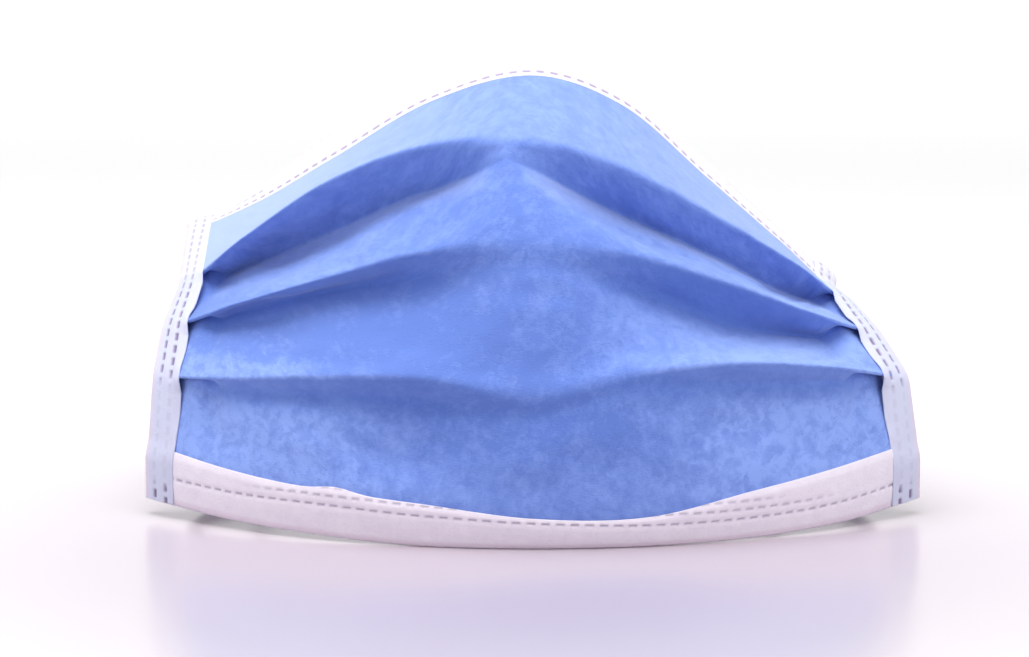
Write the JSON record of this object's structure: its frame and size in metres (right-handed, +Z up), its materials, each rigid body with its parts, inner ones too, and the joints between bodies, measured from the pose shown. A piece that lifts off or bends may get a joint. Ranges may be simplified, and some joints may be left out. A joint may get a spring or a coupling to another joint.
{
  "type": "surgical face mask",
  "caption": "Pleated disposable face mask standing on its chin edge as an open dome, with folded bindings on all edges and elastic ear loops laid behind it.",
  "frame": {"origin": "middle of the chin edge, on the surface that the mask stands on", "axes": "+Z up, +X along the mask's width towards the right of the picture, +Y back into the hollow, towards the wearer's face"},
  "size_m": [0.161, 0.1046, 0.0957],
  "materials": {
    "blue_nonwoven": "matte",
    "white_nonwoven": "matte",
    "white_elastic": "matte"
  },
  "bodies": {
    "root": {"mask_panel": "blue_nonwoven", "top_binding": "white_nonwoven", "bottom_binding": "white_nonwoven", "left_side_binding": "white_nonwoven", "right_side_binding": "white_nonwoven", "ear_loop_left": "white_elastic", "ear_loop_right": "white_elastic"}
  },
  "joints": []
}
